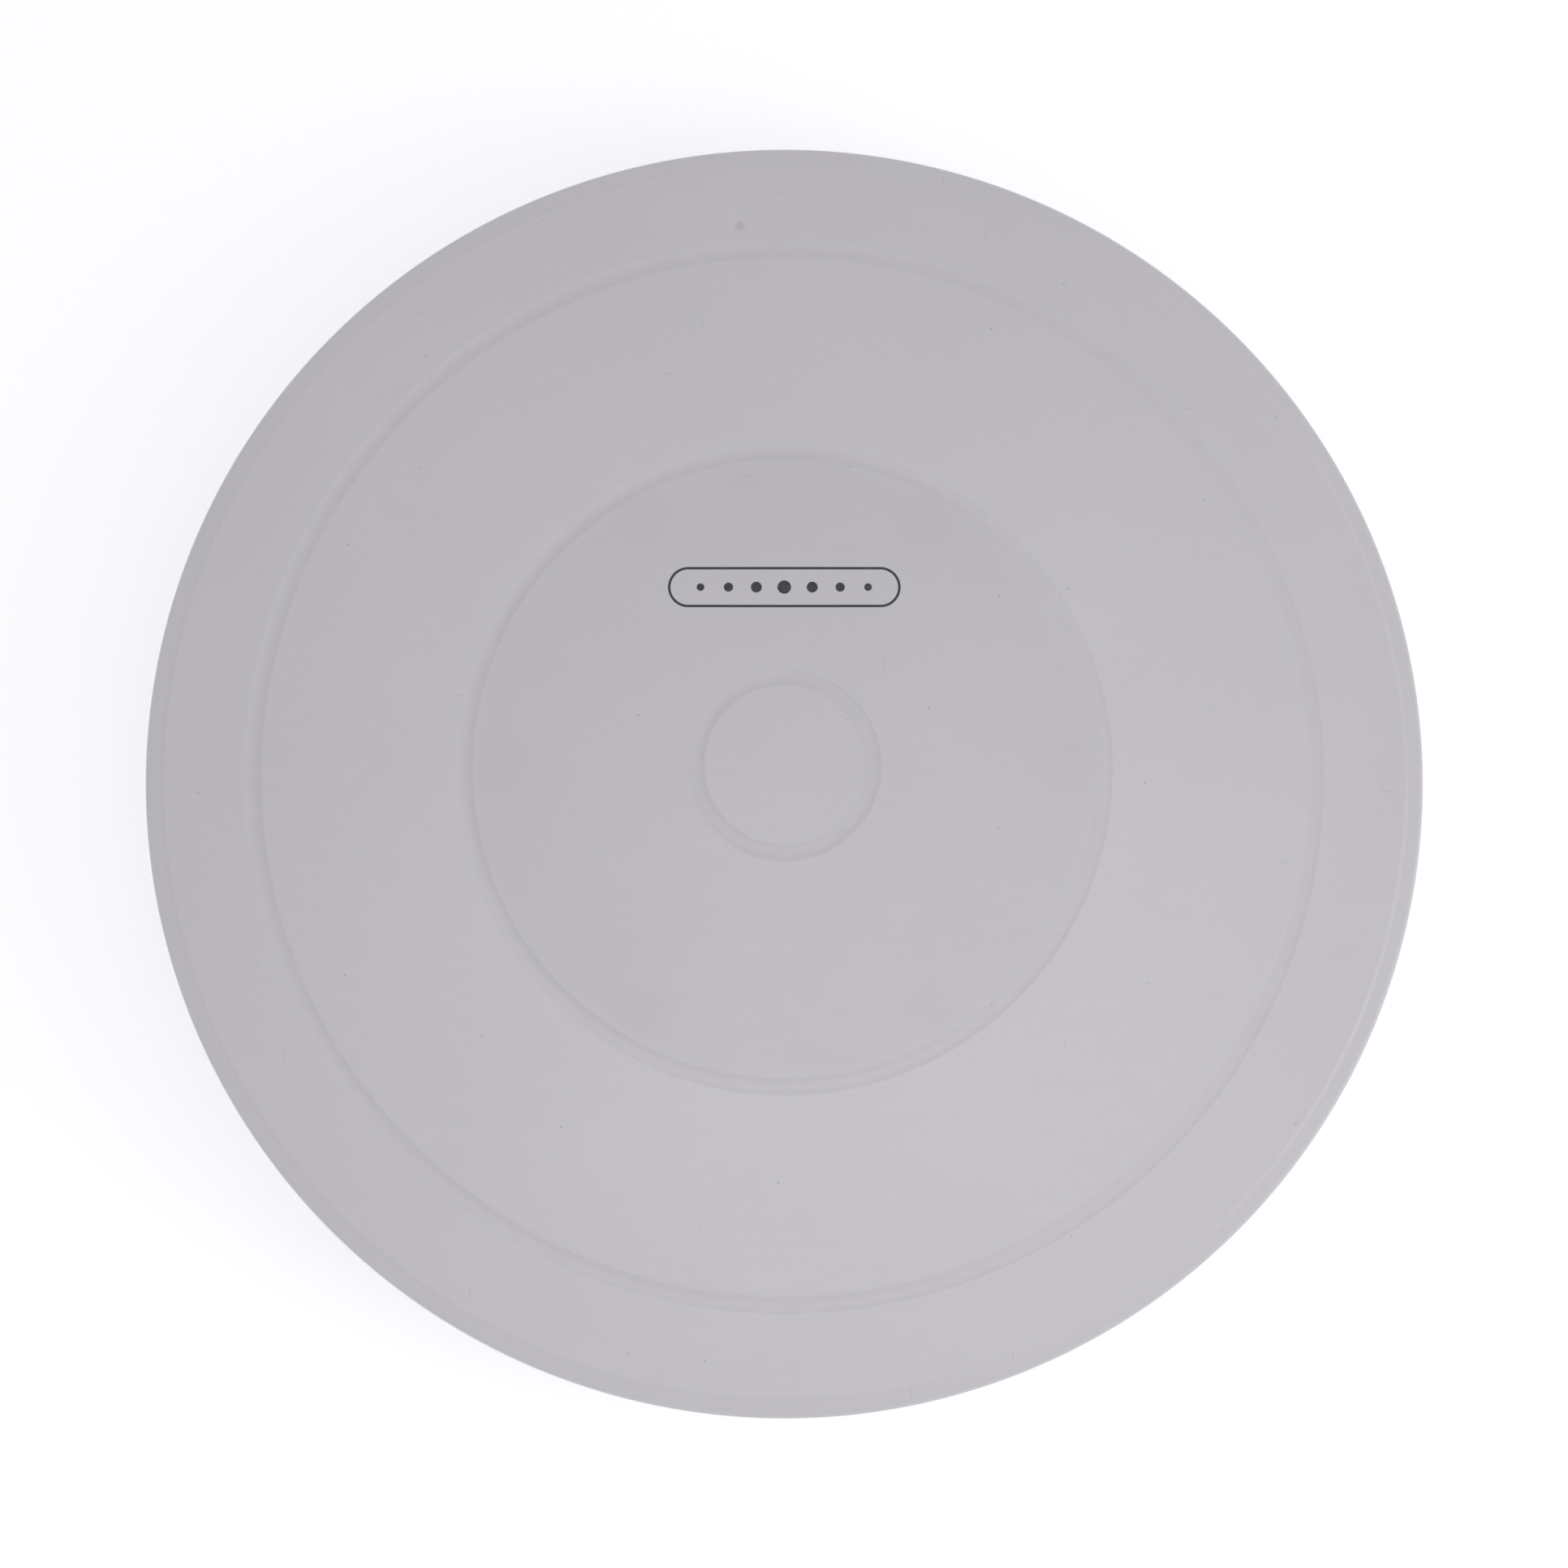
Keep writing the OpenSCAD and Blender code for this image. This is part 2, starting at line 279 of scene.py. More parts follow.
def cloudOf(tree, place, size, detail=2, roughness=0.5):
    # soft noise whose lumps are about size mm across
    made = addNode(tree, "ShaderNodeTexNoise", inputs={
        "Vector": place, "Scale": 1 / (size * mm), "Detail": detail, "Roughness": roughness})
    return made, "Fac"


def fromAxis(tree, place):
    # the place laid flat, and its distance from the axis of rotation, both in metres
    xyz = addNode(tree, "ShaderNodeSeparateXYZ", inputs={"Vector": place})
    flat = addNode(tree, "ShaderNodeCombineXYZ", inputs={"X": (xyz, "X"), "Y": (xyz, "Y")})
    made = addNode(tree, "ShaderNodeVectorMath", {"operation": "LENGTH"}, {0: (flat, "Vector")})
    return (flat, "Vector"), (made, "Value")


def besideCircle(tree, radius, circle):
    # distance from a circle of that many mm round the axis, in metres
    off = addNode(tree, "ShaderNodeMath", {"operation": "SUBTRACT"}, {0: radius, 1: circle * mm})
    made = addNode(tree, "ShaderNodeMath", {"operation": "ABSOLUTE"}, {0: (off, "Value")})
    return made, "Value"


def specksOf(tree, place, cell, size, share, stretch=(1, 1, 1), turn=0.0, flat=False):
    # marks of up to size mm, at most one in a cell of cell mm, in only a share of the cells;
    # flat ones are laid out in X and Y alone, for a level face
    drawn = addNode(tree, "ShaderNodeMapping", inputs={
        "Vector": place, "Rotation": (0, 0, turn), "Scale": [s / (cell * mm) for s in stretch]})
    spots = addNode(tree, "ShaderNodeTexVoronoi", {"voronoi_dimensions": "2D" if flat else "3D"},
                    {"Vector": (drawn, "Vector"), "Scale": 1.0})
    chance = addNode(tree, "ShaderNodeSeparateColor", inputs={"Color": (spots, "Color")})
    reach = fadeBetween(tree, (chance, "Red"), 1 - share, 1.0, 0.0, size / cell, "LINEAR")
    short = addNode(tree, "ShaderNodeMath", {"operation": "LESS_THAN"},
                    {0: (spots, "Distance"), 1: reach})
    return short, "Value"


def ringsOf(tree, radius, place, spacing, wobble):
    # fine lines that run round the axis, as a tool or a die leaves them; 0 to 1
    moved = addNode(tree, "ShaderNodeMath", {"operation": "MULTIPLY_ADD"},
                    {0: cloudOf(tree, place, 9), 1: wobble * mm, 2: radius})
    line = addNode(tree, "ShaderNodeTexNoise", {"noise_dimensions": "1D"},
                   {"W": (moved, "Value"), "Scale": 1 / (spacing * mm), "Detail": 3})
    return line, "Fac"


def sumOf(tree, start, parts):
    # start plus each (node, socket) times its weight
    total = start
    for source, weight in parts:
        made = addNode(tree, "ShaderNodeMath", {"operation": "MULTIPLY_ADD"},
                       {0: source, 1: weight, 2: total})
        total = (made, "Value")
    return total


def bumpOf(tree, height, depth, strength=1.0, under=None):
    # depth in mm, between a height of 0 and of 1
    made = addNode(tree, "ShaderNodeBump", inputs={
        "Height": height, "Distance": depth * mm, "Strength": strength})
    if under:
        tree.links.new(under[0].outputs[under[1]], made.inputs["Normal"])
    return made, "Normal"


def finishMaterial(material, colour, gloss, normal, constants):
    # links the patterns, and sets what is the same all over on the shader's own sockets
    tree = material.node_tree
    shader = tree.nodes["Principled BSDF"]
    for socket, (source, output) in (("Base Color", colour), ("Roughness", gloss), ("Normal", normal)):
        tree.links.new(source.outputs[output], shader.inputs[socket])
    for socket, value in constants.items():
        shader.inputs[socket].default_value = value
    return material


def platePlastic():
    # injection-moulded polypropylene: pale grey with a hint of violet, satin, a little see-through;
    # painted shade darkens it where the housing and the screw bosses lie behind it, for the light
    # they would hold back; the grooves get painted shade too, warmed like a trace of settled grime
    look = {
        "colour": "#CFCDD1",
        "shade": "#B5B3B8",
        "blush": "#C8C0C3",
        "grimeAndShade": "#A39C9B",
        "speck": "#5B5755",
        "roughness": 0.42,
        "housingShade": 0.21,                 # how much darker it is where the housing lies behind
        "housingEdge": (69.5, 78),            # mm, where that shade begins and ends to fade
        "bossShade": 0.07,
        "bossRadius": 66.7,                   # mm, circle of the screw bosses
        "bossSpread": (1, 11),                # mm
        "bossCount": 6,
        "grooveRadii": (20.75, 75, 124.5),    # mm
        # painted shade in the grooves, with a warm tint of grime
        "grooveShadeAndGrime": 0.05,
        "grooveBand": (1.65, 1.85),           # mm from a groove's middle
        "topFace": 29,                        # mm, above this a mark lies on the top face
        "gatePlace": (-10.8, 130.4),          # mm, where dirt stays in the mark of the mould's gate
        "gateDirt": 0.3,
        "gateEdge": (0.7, 1.5),               # mm
        "rimEdge": (148, 150),                # mm, where handling has dulled it more
        # size in mm, detail and roughness of each noise
        "cloud": (45, 3, 0.5),
        "mottle": (3.5, 2, 0.6),
        "grain": (0.7, 1, 0.5),
        "blushPatch": (17, 3, 0.6),
        "smudge": (7, 3, 0.6),
        "smear": (28, 3, 0.6),
        "satin": (0.6, 2, 0.5),               # drawn coarser than the real 0.1 mm so that it shows
        "sink": (22, 1, 0.5),                 # a flat moulded wall is never quite flat
    }
    material, tree = newMaterial("satin_polypropylene")
    place = (addNode(tree, "ShaderNodeTexCoord"), "Object")
    xyz = addNode(tree, "ShaderNodeSeparateXYZ", inputs={"Vector": place})
    flatPlace, radius = fromAxis(tree, place)
    inner, outer = look["housingEdge"]
    # painted shade where the housing lies behind the plate, standing in for the light it would hold
    # back in the plastic
    behind = fadeBetween(tree, radius, inner * mm, outer * mm, 1.0, 0.0)
    # painted shade over the screw bosses behind the plate, for the light they would hold back; the
    # angle is folded into one sector, so that one boss's shade repeats round the axis
    angle = addNode(tree, "ShaderNodeMath", {"operation": "ARCTAN2"}, {0: (xyz, "Y"), 1: (xyz, "X")})
    sector = 2 * math.pi / look["bossCount"]
    folded = addNode(tree, "ShaderNodeMath", {"operation": "WRAP"},
                     {0: (angle, "Value"), 1: sector / 2, 2: -sector / 2})
    turned = addNode(tree, "ShaderNodeCombineXYZ", inputs={"Z": (folded, "Value")})
    onAxis = addNode(tree, "ShaderNodeCombineXYZ", inputs={"X": radius})
    inSector = addNode(tree, "ShaderNodeVectorRotate", {"rotation_type": "EULER_XYZ"},
                       {"Vector": (onAxis, "Vector"), "Rotation": (turned, "Vector")})
    fromBoss = addNode(tree, "ShaderNodeVectorMath", {"operation": "DISTANCE"},
                       {0: (inSector, "Vector"), 1: (look["bossRadius"] * mm, 0, 0)})
    inner, outer = look["bossSpread"]
    boss = fadeBetween(tree, (fromBoss, "Value"), inner * mm, outer * mm, 1.0, 0.0, "SMOOTHERSTEP")
    # slow clouding of the melt, a finer mottle of the pigment, and a blush where it cooled last
    cloud = cloudOf(tree, place, *look["cloud"])
    mottle = cloudOf(tree, place, *look["mottle"])
    grain = cloudOf(tree, place, *look["grain"])
    shade = sumOf(tree, 0.0, [
        (behind, look["housingShade"]), (boss, look["bossShade"]),
        (cloud, 0.14), (mottle, 0.07), (grain, 0.07)])
    plain = blendColours(tree, shade, look["colour"], look["shade"])
    warm = fadeBetween(tree, cloudOf(tree, place, *look["blushPatch"]), 0.55, 0.75, 0.0, 0.12)
    body = blendColours(tree, warm, plain, look["blush"])
    grooveShadeAndGrimeBands = 0.0
    # painted shade in the grooves, tinted warm and made patchy like settled grime
    inner, outer = look["grooveBand"]
    for circle in look["grooveRadii"]:
        beside = besideCircle(tree, radius, circle)
        band = fadeBetween(tree, beside, inner * mm, outer * mm, look["grooveShadeAndGrime"], 0.0)
        grooveShadeAndGrimeBands = sumOf(tree, grooveShadeAndGrimeBands, [(band, 1.0)])
    smudge = fadeBetween(tree, cloudOf(tree, place, *look["smudge"]), 0.3, 0.7, 0.65, 1.25)
    gateX, gateY = look["gatePlace"]
    fromGate = addNode(tree, "ShaderNodeVectorMath", {"operation": "DISTANCE"},
                       {0: flatPlace, 1: (gateX * mm, gateY * mm, 0)})
    inner, outer = look["gateEdge"]
    gateDirt = fadeBetween(tree, (fromGate, "Value"), inner * mm, outer * mm, look["gateDirt"], 0.0)
    # the grooves' painted shade and the dirt in the gate's mark, both broken up by the smudge
    settled = sumOf(tree, grooveShadeAndGrimeBands, [(gateDirt, 1.0)])
    grimeAndShade = addNode(tree, "ShaderNodeMath", {"operation": "MULTIPLY"}, {0: settled, 1: smudge})
    shadedAndSoiled = blendColours(tree, (grimeAndShade, "Value"), body, look["grimeAndShade"])
    # specks of burnt resin and short stray hairs of it, most of them too small to see
    specks = specksOf(tree, place, 17, 0.24, 0.4, flat=True)
    tinySpecks = specksOf(tree, place, 7, 0.16, 0.5, flat=True)
    hairs = specksOf(tree, place, 9, 0.16, 0.3, (0.13, 1, 1), 0.7, flat=True)
    crossHairs = specksOf(tree, place, 11, 0.17, 0.3, (1, 0.12, 1), 0.25, flat=True)
    marks = sumOf(tree, 0.0, [(specks, 0.45), (tinySpecks, 0.2), (hairs, 0.16), (crossHairs, 0.14)])
    onTop = addNode(tree, "ShaderNodeMath", {"operation": "GREATER_THAN"},
                    {0: (xyz, "Z"), 1: look["topFace"] * mm})
    topMarks = addNode(tree, "ShaderNodeMath", {"operation": "MULTIPLY"},
                       {0: marks, 1: (onTop, "Value")})
    colour = blendColours(tree, (topMarks, "Value"), shadedAndSoiled, look["speck"])
    # handling marks: fine scuffs that only the gloss shows, more of them on the proud edge
    stretched = addNode(tree, "ShaderNodeMapping", inputs={
        "Vector": place, "Rotation": (0, 0, 0.6), "Scale": (30, 900, 30)})
    scuff = addNode(tree, "ShaderNodeTexNoise", inputs={
        "Vector": (stretched, "Vector"), "Scale": 1.0, "Detail": 2})
    smear = cloudOf(tree, place, *look["smear"])
    inner, outer = look["rimEdge"]
    edge = fadeBetween(tree, radius, inner * mm, outer * mm, 0.0, 1.0)
    gloss = sumOf(tree, look["roughness"] - 0.10, [((scuff, "Fac"), 0.12), (smear, 0.09), (edge, 0.06)])
    satin = cloudOf(tree, place, *look["satin"])      # the grain that the mould leaves
    sink = cloudOf(tree, place, *look["sink"])
    normal = bumpOf(tree, satin, 0.012, 0.5, bumpOf(tree, sink, 0.05, 0.5))
    return finishMaterial(material, colour, gloss, normal, {"IOR": 1.49})


def housingPlastic():
    # injection-moulded ABS from a spark-eroded mould: even pale grey, matt, with a fine pebble,
    # dulled by dust low down and rubbed a little glossier on its edges
    look = {
        "colour": "#CFCDD0",
        "shade": "#B7B5B9",
        "dust": "#A9A39A",
        "speck": "#77726E",
        "roughness": 0.52,
        "dustLevels": (1.5, 9),    # mm above the table, where the dust begins and ends to fade
    }
    material, tree = newMaterial("spark_textured_abs")
    place = (addNode(tree, "ShaderNodeTexCoord"), "Object")
    xyz = addNode(tree, "ShaderNodeSeparateXYZ", inputs={"Vector": place})
    cloud = cloudOf(tree, place, 30, 3)
    mottle = cloudOf(tree, place, 4, 2, 0.6)
    uneven = sumOf(tree, 0.0, [(cloud, 0.5), (mottle, 0.25)])
    body = blendColours(tree, uneven, look["colour"], look["shade"])
    lint = cloudOf(tree, place, 6, 4, 0.7)
    dustLow, dustHigh = look["dustLevels"]
    low = fadeBetween(tree, (xyz, "Z"), dustLow * mm, dustHigh * mm, 1.0, 0.0)
    patch = fadeBetween(tree, lint, 0.42, 0.7, 0.0, 1.0)
    settled = addNode(tree, "ShaderNodeMath", {"operation": "MULTIPLY"}, {0: low, 1: patch})
    dusty = blendColours(tree, sumOf(tree, 0.0, [((settled, "Value"), 0.35)]), body, look["dust"])
    specks = specksOf(tree, place, 11, 0.22, 0.5)
    colour = blendColours(tree, sumOf(tree, 0.0, [(specks, 0.5)]), dusty, look["speck"])
    edges = addNode(tree, "ShaderNodeNewGeometry")
    rubbed = fadeBetween(tree, (edges, "Pointiness"), 0.52, 0.6, 0.0, 1.0)
    gloss = sumOf(tree, look["roughness"] - 0.06, [(mottle, 0.08), (patch, 0.08), (rubbed, -0.12)])
    # spark texture of 0.4 mm, drawn coarser than the real 0.15 mm so that it shows
    pebble = cloudOf(tree, place, 0.4, 2, 0.6)
    flow = cloudOf(tree, place, 18, 2)
    normal = bumpOf(tree, pebble, 0.03, 0.6, bumpOf(tree, flow, 0.05, 0.4))
    return finishMaterial(material, colour, gloss, normal, {"IOR": 1.53})


def footRubber():
    # compression-moulded rubber: dark warm grey and dull, chalky where dust clings to it,
    # and worn smooth and paler on the face that stands on the table
    look = {
        "colour": "#333335", "bloom": "#6A6864", "worn": "#4A4A4B",
        "roughness": 0.72, "wornLevels": (0.1, 0.7),      # mm above the table
    }
    material, tree = newMaterial("moulded_rubber")
    place = (addNode(tree, "ShaderNodeTexCoord"), "Object")
    xyz = addNode(tree, "ShaderNodeSeparateXYZ", inputs={"Vector": place})
    dust = fadeBetween(tree, cloudOf(tree, place, 1.6, 4, 0.65), 0.45, 0.75, 0.0, 0.45)
    body = blendColours(tree, dust, look["colour"], look["bloom"])
    wornLow, wornHigh = look["wornLevels"]
    wear = fadeBetween(tree, (xyz, "Z"), wornLow * mm, wornHigh * mm, 0.7, 0.0)
    colour = blendColours(tree, wear, body, look["worn"])
    gloss = sumOf(tree, look["roughness"], [(dust, 0.25), (wear, -0.2)])
    # grain of 0.25 mm, about twice the real one, so that it shows
    grain = cloudOf(tree, place, 0.25, 2, 0.6)
    scratch = cloudOf(tree, place, 0.9, 3)
    normal = bumpOf(tree, grain, 0.02, 0.7, bumpOf(tree, scratch, 0.03, 0.5))
    return finishMaterial(material, colour, gloss, normal, {"IOR": 1.52})


def cageAcetal():
    # natural acetal: creamy white, slippery and faintly see-through, with a film of grease
    # that yellows and glosses it along the ball circle
    look = {
        "colour": "#ECE9DF", "shade": "#DAD5C6", "grease": "#CDBE8E",
        "roughness": 0.38,
        "ballCircle": 56,         # mm
        "greaseBand": (1.5, 6),   # mm from the ball circle
    }
    material, tree = newMaterial("natural_acetal")
    place = (addNode(tree, "ShaderNodeTexCoord"), "Object")
    radius = fromAxis(tree, place)[1]
    body = blendColours(tree, cloudOf(tree, place, 12, 3), look["colour"], look["shade"])
    beside = besideCircle(tree, radius, look["ballCircle"])
    inner, outer = look["greaseBand"]
    near = fadeBetween(tree, beside, inner * mm, outer * mm, 1.0, 0.0)
    blotch = fadeBetween(tree, cloudOf(tree, place, 3, 3, 0.6), 0.35, 0.65, 0.0, 1.0)
    film = addNode(tree, "ShaderNodeMath", {"operation": "MULTIPLY"}, {0: near, 1: blotch})
    grease = (film, "Value")
    colour = blendColours(tree, sumOf(tree, 0.0, [(grease, 0.5)]), body, look["grease"])
    gloss = sumOf(tree, look["roughness"], [(grease, -0.2), (cloudOf(tree, place, 1.5), 0.08)])
    normal = bumpOf(tree, cloudOf(tree, place, 0.5, 2), 0.015, 0.5, bumpOf(tree, grease, 0.04, 0.5))
    return finishMaterial(material, colour, gloss, normal, {
        "IOR": 1.48, "Coat Weight": 0.15, "Coat Roughness": 0.2})


def bearingNylon():
    # turned nylon bar: ivory, waxy, with the tool's fine rings and darker rubbed patches
    look = {"colour": "#E6DFC8", "rubbed": "#C9BF9F", "roughness": 0.42}
    material, tree = newMaterial("turned_nylon")
    place = (addNode(tree, "ShaderNodeTexCoord"), "Object")
    radius = fromAxis(tree, place)[1]
    rubbed = fadeBetween(tree, cloudOf(tree, place, 2.5, 3, 0.6), 0.45, 0.7, 0.0, 0.6)
    colour = blendColours(tree, rubbed, look["colour"], look["rubbed"])
    rings = ringsOf(tree, radius, place, 0.22, 0.05)
    gloss = sumOf(tree, look["roughness"] - 0.05, [(rings, 0.14), (rubbed, -0.12)])
    normal = bumpOf(tree, rings, 0.02, 0.7)
    return finishMaterial(material, colour, gloss, normal, {"IOR": 1.53})


def pressedSteel():
    # cold-rolled strip pressed into a race: grey and slightly brushed round the axis by the die,
    # burnished bright where the balls run, with a few tea-coloured stains
    look = {
        "colour": "#B9BBBE", "dull": "#94969A", "stain": "#8C7B66",
        "roughness": 0.36,
        "ballCircle": 56,         # mm
        "trackBand": (0.5, 1.4),  # mm from the ball circle
    }
    material, tree = newMaterial("pressed_cold_rolled_steel")
    place = (addNode(tree, "ShaderNodeTexCoord"), "Object")
    radius = fromAxis(tree, place)[1]
    rings = ringsOf(tree, radius, place, 0.3, 0.12)
    patch = cloudOf(tree, place, 8, 3, 0.6)
    dulled = sumOf(tree, -0.1, [(rings, 0.6), (patch, 0.5)])
    body = blendColours(tree, dulled, look["colour"], look["dull"])
    stain = fadeBetween(tree, cloudOf(tree, place, 5, 5, 0.7), 0.62, 0.75, 0.0, 0.5)
    colour = blendColours(tree, stain, body, look["stain"])
    beside = besideCircle(tree, radius, look["ballCircle"])
    inner, outer = look["trackBand"]
    burnished = fadeBetween(tree, beside, inner * mm, outer * mm, 1.0, 0.0)
    gloss = sumOf(tree, look["roughness"] - 0.08, [(rings, 0.16), (burnished, -0.2), (stain, 0.2)])
    normal = bumpOf(tree, rings, 0.012, 0.8)
    return finishMaterial(material, colour, gloss, normal, {"Metallic": 1.0, "Anisotropic": 0.3})


def ballSteel():
    # ground and polished chrome steel: a near mirror, under a broken film of grease,
    # with hairline scratches
    look = {"colour": "#CFD1D4", "film": "#B5AE98", "roughness": 0.08}
    material, tree = newMaterial("polished_chrome_steel")
    place = (addNode(tree, "ShaderNodeTexCoord"), "Object")
    film = fadeBetween(tree, cloudOf(tree, place, 2.2, 3, 0.6), 0.48, 0.68, 0.0, 1.0)
    colour = blendColours(tree, sumOf(tree, 0.0, [(film, 0.45)]), look["colour"], look["film"])
    stretched = addNode(tree, "ShaderNodeMapping", inputs={
        "Vector": place, "Rotation": (0.5, 0.3, 0.9), "Scale": (200, 6000, 900)})
    scratch = addNode(tree, "ShaderNodeTexNoise", inputs={
        "Vector": (stretched, "Vector"), "Scale": 1.0, "Detail": 1})
    hairline = fadeBetween(tree, (scratch, "Fac"), 0.6, 0.75, 0.0, 1.0)
    gloss = sumOf(tree, look["roughness"], [(film, 0.18), (hairline, 0.12)])
    normal = bumpOf(tree, film, 0.01, 0.5)
    return finishMaterial(material, colour, gloss, normal, {"Metallic": 1.0})


def zincPlate():
    # bright zinc plating with a clear chromate: bluish silver with faint straw and violet patches,
    # and a fine crystalline grain
    look = {"colour": "#BFC4CB", "straw": "#C6BE9F", "violet": "#A9A6BC", "roughness": 0.3}
    material, tree = newMaterial("clear_zinc_plated_steel")
    place = (addNode(tree, "ShaderNodeTexCoord"), "Object")
    straw = fadeBetween(tree, cloudOf(tree, place, 2.8, 3, 0.6), 0.45, 0.75, 0.0, 0.6)
    first = blendColours(tree, straw, look["colour"], look["straw"])
    violet = fadeBetween(tree, cloudOf(tree, place, 1.9, 2), 0.55, 0.75, 0.0, 0.5)
    colour = blendColours(tree, violet, first, look["violet"])
    grain = cloudOf(tree, place, 0.3, 3, 0.6)     # crystals of the plating, drawn coarser than they are
    gloss = sumOf(tree, look["roughness"] - 0.08, [(grain, 0.16), (straw, 0.1)])
    normal = bumpOf(tree, grain, 0.012, 0.7)
    return finishMaterial(material, colour, gloss, normal, {"Metallic": 1.0})


def padInk():
    # two-part pad-printing ink: near black, matt, thin enough to let a little of the plate through
    # in pinholes and at worn places
    look = {"colour": "#2A2A2B", "thin": "#4B4A4C", "pinhole": "#9C9A9E", "roughness": 0.5}
    material, tree = newMaterial("pad_printing_ink")
    place = (addNode(tree, "ShaderNodeTexCoord"), "Object")
    thin = fadeBetween(tree, cloudOf(tree, place, 1.2, 4, 0.7), 0.4, 0.75, 0.0, 0.8)
    body = blendColours(tree, thin, look["colour"], look["thin"])
    pinholes = specksOf(tree, place, 1.1, 0.09, 0.35)
    colour = blendColours(tree, sumOf(tree, 0.0, [(pinholes, 0.6)]), body, look["pinhole"])
    gloss = sumOf(tree, look["roughness"] - 0.04, [(thin, 0.12)])
    normal = bumpOf(tree, cloudOf(tree, place, 0.3, 2), 0.006, 0.6)
    return finishMaterial(material, colour, gloss, normal, {"IOR": 1.5})


platePolypropylene = platePlastic()
housingAbs = housingPlastic()
rubber = footRubber()
acetal = cageAcetal()
nylon = bearingNylon()
raceSteel = pressedSteel()
chromeSteel = ballSteel()
zincSteel = zincPlate()
ink = padInk()
print("materials made:", len(bpy.data.materials))

plate = {
    "printFilm": 0.02,                   # the pad print stands this far up to the CAD's top
    "hubLoop": 10,                       # a loop that keeps the thin triangles at the axis short
    "thickness": 3.0,
    "rimWall": 2.4,
    "grooveDiameters": (41.5, 150.0, 249.0),
    "grooveRadius": 7.0,                 # of the round bottom
    "grooveDepth": 0.3,
    "grooveSteps": 8,
    "lipRadius": 2.0,
    "lipSteps": 5,
    "lipApron": 0.25,                    # a loop that keeps the flat's shading flat
    "shoulderRadius": 145.1,
    "stepDown": 0.35,
    "stepWidth": 1.6,
    "stepLoops": 10,
    "bandDrop": 0.25,
    "edgeRadius": 1.2,
    "rimDraft": 0.2,
    "collar": (73.3, 75.8, 19.5),        # inner and outer radius, lower edge
    "spigot": (17.5, 20.0),
    "headRing": (4.6, 7.4),
    "ribCount": 24,
    "ribWidth": 1.8,
    "ribHeight": 2.5,
    "ribSunk": 0.6,                      # how far ribs and bosses run up into the plate
    "ribReach": 0.4,                     # how far a rib runs into the walls at its ends
    "ringRib": 110,
    "bossCount": 6,
    "bossCircle": 67,
    "bossRadius": 5,
    "bossDraft": 0.15,
    "bossHole": 1.75,
    "holeDraft": 0.05,
    "holeTop": 27.4,
    "gatePlace": (-10.8, 130.4),         # mark of the mould's gate on the top face
    "gateRadius": 1.3,
    "gateDepth": 0.09,
    # shares of that radius and depth, from a low pip in the middle out to the rim
    "gateShape": ((0, 0.45), (0.25, 0.55), (0.5, 1.0), (0.75, 0.85), (1.0, 0)),
    "steps": 288,
}
top = plateTop - plate["printFilm"]
under = plateTop - plate["thickness"]


def grooveOutline(centre):
    # a round bottom that runs into rounded lips, from the inner lip to the outer one
    bottom, depth, lip = plate["grooveRadius"], plate["grooveDepth"], plate["lipRadius"]
    halfWidth = math.sqrt(depth * (2 * (bottom + lip) - depth))
    slope = math.atan2(halfWidth, bottom - depth + lip)
    half = [(halfWidth + plate["lipApron"], 0)]
    for step in range(plate["lipSteps"]):
        turn = slope * step / plate["lipSteps"]
        half.append((halfWidth - lip * math.sin(turn), -lip + lip * math.cos(turn)))
    for step in range(plate["grooveSteps"] + 1):
        turn = slope * (1 - step / plate["grooveSteps"])
        half.append((bottom * math.sin(turn), bottom - depth - bottom * math.cos(turn)))
    across = [(-x, z) for x, z in half] + list(reversed(half[:-1]))
    return [Vector((centre + x, top + z)) for x, z in across]


def plateOutline():
    shoulder, wall = plate["shoulderRadius"], plateRadius - plate["rimWall"]
    collarInner, collarOuter, collarLow = plate["collar"]
    spigotInner, spigotOuter = plate["spigot"]
    ringInner, ringOuter = plate["headRing"]
    points = [Vector((0, top)), Vector((plate["hubLoop"], top))]
    for diameter in plate["grooveDiameters"]:
        points += grooveOutline(diameter / 2)
    points.append(Vector((shoulder - plate["lipApron"], top)))
    # the low step at the edge of the flat, as an S
    for step in range(plate["stepLoops"] + 1):
        share = step / plate["stepLoops"]
        points.append(Vector((shoulder + plate["stepWidth"] * share,
                              top - plate["stepDown"] * (1 - math.cos(math.pi * share)) / 2)))
    points += roundCorners([
        (shoulder + plate["stepWidth"], top - plate["stepDown"], 0),
        (plateRadius, top - plate["stepDown"] - plate["bandDrop"], plate["edgeRadius"]),
        (plateRadius - plate["rimDraft"], rimLow, 0.9),
        (wall, rimLow, 0.5),
        (wall, under, 1.5),
        (collarOuter, under, 1.0),
        (collarOuter, collarLow, 0.5),
        (collarInner, collarLow, 0.4),
        (collarInner, under, 0.6),
        (spigotOuter, under, 0.6),
        (spigotOuter, housingTop, 0.3),
        (spigotInner, housingTop, 0.3),
        (spigotInner, under, 0.6),
        (ringOuter, under, 0.6),
        (ringOuter, housingTop, 0.3),
        (ringInner, housingTop, 0.3),
        (ringInner, under, 0.6),
        (0, under, 0)], steps=6)[1:]
    return points


plateBody = turnPiece("plate_moulding", plateOutline(), plate["steps"])

